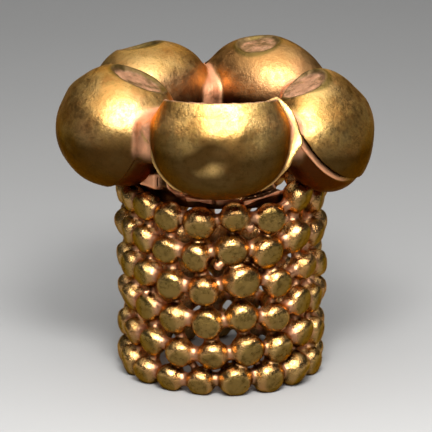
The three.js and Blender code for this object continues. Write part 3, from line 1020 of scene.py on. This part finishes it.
OLIVE_GOLD = rgb(0.44, 0.28, 0.07)
# the worn faces' olive: partly their own colour, partly a painted dark reflection
FACET_OLIVE = rgb(0.46, 0.3, 0.08)
PALE_GOLD = rgb(0.84, 0.53, 0.18)
WARM_GOLD = rgb(0.76, 0.4, 0.11)
RICH_GOLD = rgb(0.94, 0.52, 0.19)
BROWN_GOLD = rgb(0.58, 0.23, 0.05)
AGED_GOLD = rgb(0.42, 0.2, 0.07)
COPPER_GOLD = rgb(1.0, 0.5, 0.27)
WORN_PINK = rgb(0.88, 0.5, 0.3)
DARK_OLIVE = rgb(0.17, 0.12, 0.03)
GREY_BROWN = rgb(0.34, 0.21, 0.1)
DULL_PINK = rgb(0.62, 0.36, 0.19)
# the colour of the painted shade on undersides
UNDERSIDE_SHADE_BROWN = rgb(0.032, 0.013, 0.002)
EDGE_GOLD = rgb(0.8, 0.52, 0.26)
# the colour of painted shade in hollows, in the inner bowl and inside the lobes
SHADE_RED = rgb(0.05, 0.009, 0.002)

# Mottling: lumps a metre, detail and roughness
CLOUDY = (60.0, 2.0, 0.5)
BROAD = (700.0, 4.0, 0.6)
BLOTCH = (1700.0, 4.0, 0.65)
FINE = (5000.0, 5.0, 0.7)
SPECK = (15000.0, 3.0, 0.6)
FINE_HEIGHT = 0.05 * MM  # how high the two finest stand out
SPECK_HEIGHT = 0.014 * MM


def gold_material(name, ground, patch, rough, grain, solder_hollow_shade):
    """Old gold: mottled, copper-pink where solder ran, with painted shade in hollows, on undersides
    and in the inner bowl, and a painted highlight along the seams.

    The last argument is how dark the painted shade is in the hollows of the solder.
    """
    shader = Shader("old_" + name)
    place = shader.add("TexCoord").outputs["Object"]
    kinds = (BROAD, BLOTCH, FINE, SPECK)
    broad, blotch, fine, speck = (shader.noise(*kind, place) for kind in kinds)
    layer, span, tint = shader.layer, shader.span, shader.tint
    colour = shader.mix(span(broad, 0.4, 0.6), ground, patch)
    colour = tint(colour, span(blotch, 0.5, 0.72), 0.6, BROWN_GOLD)
    colour = tint(colour, span(fine, 0.5, 0.66), 0.6, OLIVE_GOLD)
    colour = tint(colour, span(speck, 0.58, 0.7), 0.5, DARK_OLIVE)
    colour = tint(colour, layer("inner"), 0.7, DULL_PINK)
    colour = tint(colour, layer("tone"), 0.8, AGED_GOLD)
    # worn faces: their own olive, made darker as a painted dark reflection
    olive = shader.mix(span(fine, 0.42, 0.68), FACET_OLIVE, DARK_OLIVE)
    colour = tint(colour, layer("facet"), 0.85, olive)
    colour = tint(colour, layer("solder"), span(fine, 0.3, 0.5, 0.65, 1.0), COPPER_GOLD)
    worn = shader.mix(span(blotch, 0.42, 0.64), WORN_PINK, GREY_BROWN)
    colour = shader.mix(layer("dish"), colour, worn)
    colour = tint(colour, layer("rim"), 0.8, DARK_OLIVE)
    # painted highlight along the seams and the flange
    colour = tint(colour, layer("painted_seam_highlight"), 0.8, PALE_GOLD)
    # painted shade in hollows, where the surface is closed in by gold
    painted_crevice_shade = span(layer("open"), 0.85, 0.2)
    colour = tint(colour, painted_crevice_shade, span(layer("solder"), 0.2, 0.9, 0.8, solder_hollow_shade), SHADE_RED)
    # painted shade on surfaces that look down
    colour = tint(colour, layer("under"), 0.94, UNDERSIDE_SHADE_BROWN)
    # painted shade on the inner bowl below the seam
    colour = tint(colour, layer("bowl"), 0.8, SHADE_RED)
    # painted shade inside the lobe's own skin
    colour = tint(colour, layer("inside"), 0.85, SHADE_RED)
    gloss = span(fine, 0.3, 0.7, rough - 0.08, rough + 0.12)
    for dull, more in (("dish", 0.12), ("solder", 0.16)):
        gloss = shader.math("ADD", gloss, shader.math("MULTIPLY", layer(dull), more))
    bump = shader.add("Bump", {"Height": fine, "Strength": grain, "Distance": FINE_HEIGHT})
    bump = shader.add("Bump", {"Height": speck, "Strength": grain * 0.6,
                               "Distance": SPECK_HEIGHT, "Normal": bump.outputs[0]})
    gold = shader.add("BsdfPrincipled", {"Base Color": colour, "Metallic": 1.0, "Roughness": gloss,
                                         "Specular Tint": EDGE_GOLD, "Normal": bump.outputs[0]})
    shader.add("OutputMaterial", {"Surface": gold.outputs[0]})
    return shader.material


def floor_material():
    shader = Shader("pale_floor")
    place = shader.add("TexCoord").outputs["Object"]
    cloudy = shader.noise(*CLOUDY, place)
    shade = shader.mix(cloudy, rgb(0.5, 0.495, 0.485), rgb(0.54, 0.535, 0.525))
    paper = shader.add("BsdfPrincipled", {"Base Color": shade, "Roughness": 0.85})
    shader.add("OutputMaterial", {"Surface": paper.outputs[0]})
    return shader.material


# Dressing

def dress():
    """Makes every piece, and sets each in the place of its node."""
    granule_gold = gold_material("granule_gold", RICH_GOLD, PALE_GOLD,
                                 rough=0.21, grain=0.6, solder_hollow_shade=0.8)
    solder_gold = gold_material("solder_gold", COPPER_GOLD, COPPER_GOLD,
                                rough=0.36, grain=0.5, solder_hollow_shade=0.8)
    sheet_gold = gold_material("sheet_gold", WARM_GOLD, PALE_GOLD,
                               rough=0.38, grain=0.4, solder_hollow_shade=0.2)
    jobs = [(f"granule_ring_{ring}", make_ring, (ring,), granule_gold) for ring in ALL_RINGS]
    jobs += [(lobe.name, make_lobe, (number,), sheet_gold) for number, lobe in enumerate(CROWN)]
    jobs.append(("collar", make_collar, (), solder_gold))
    with ThreadPoolExecutor(4) as pool:
        results = [pool.submit(job, *given) for _, job, given, _ in jobs]
        for (node, _, _, material), result in zip(jobs, results):
            piece = make_object("dressed_" + node, *result.result())
            piece.data.materials.append(material)
            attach(piece, "root")
            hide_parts(node)


# Stage

def photo_camera():
    camera = bpy.data.cameras.new("camera")
    camera.sensor_width = SENSOR_WIDTH
    camera.lens = SENSOR_WIDTH * CAMERA_DISTANCE / (PHOTO_PIXELS * PIXEL)
    camera.clip_start = 0.001
    camera.clip_end = 10.0
    seat = bpy.data.objects.new("camera", camera)
    rise = math.radians(CAMERA_ELEVATION)
    away = Vector((0, -math.cos(rise), math.sin(rise))) * CAMERA_DISTANCE
    seat.location = (Vector(CAMERA_TARGET) + away) * MM
    seat.rotation_euler = (math.pi / 2 - rise, 0, 0)
    bpy.context.scene.collection.objects.link(seat)
    bpy.context.scene.camera = seat


def soft_light(name, place, aim, wide, tall, glow):
    """An area light, as bright as its glow seen from any side."""
    light = bpy.data.lights.new(name, "AREA")
    light.shape = "RECTANGLE"
    light.size = wide * MM
    light.size_y = tall * MM
    light.energy = glow * math.pi * wide * MM * tall * MM
    lamp = bpy.data.objects.new(name, light)
    lamp.location = Vector(place) * MM
    way = Vector(aim) - Vector(place)
    lamp.rotation_euler = way.to_track_quat("-Z", "Y").to_euler()
    bpy.context.scene.collection.objects.link(lamp)


FLOOR_REACH = 1.5  # metres
WORLD_GLOW = 0.05


def stage():
    mesh = bpy.data.meshes.new("floor")
    sides = ((-1, -1), (1, -1), (1, 1), (-1, 1))
    corners = [(x * FLOOR_REACH, y * FLOOR_REACH, 0) for x, y in sides]
    mesh.from_pydata(corners, [], [(0, 1, 2, 3)])
    mesh.materials.append(floor_material())
    floor = bpy.data.objects.new("floor", mesh)
    bpy.context.scene.collection.objects.link(floor)
    world = bpy.data.worlds.new("studio")
    world.use_nodes = True
    sky = world.node_tree.nodes["Background"].inputs
    sky["Color"].default_value = rgb(0.9, 0.95, 1.0)
    sky["Strength"].default_value = WORLD_GLOW
    bpy.context.scene.world = world
    soft_light("key", (1, -28, 31), aim=(0, -1, 5), wide=32, tall=24, glow=5.0)
    soft_light("lamp", (1.5, -23, 31), aim=(0, -1, 5), wide=9, tall=7, glow=36.0)
    soft_light("overhead", (0, -2, 42), aim=(0, 0, 3), wide=60, tall=40, glow=1.5)
    soft_light("far_floor", (0, 62, 46), aim=(0, 32, 0), wide=60, tall=30, glow=1.0)
    bpy.context.scene.view_settings.view_transform = "Standard"


dress()
stage()
photo_camera()
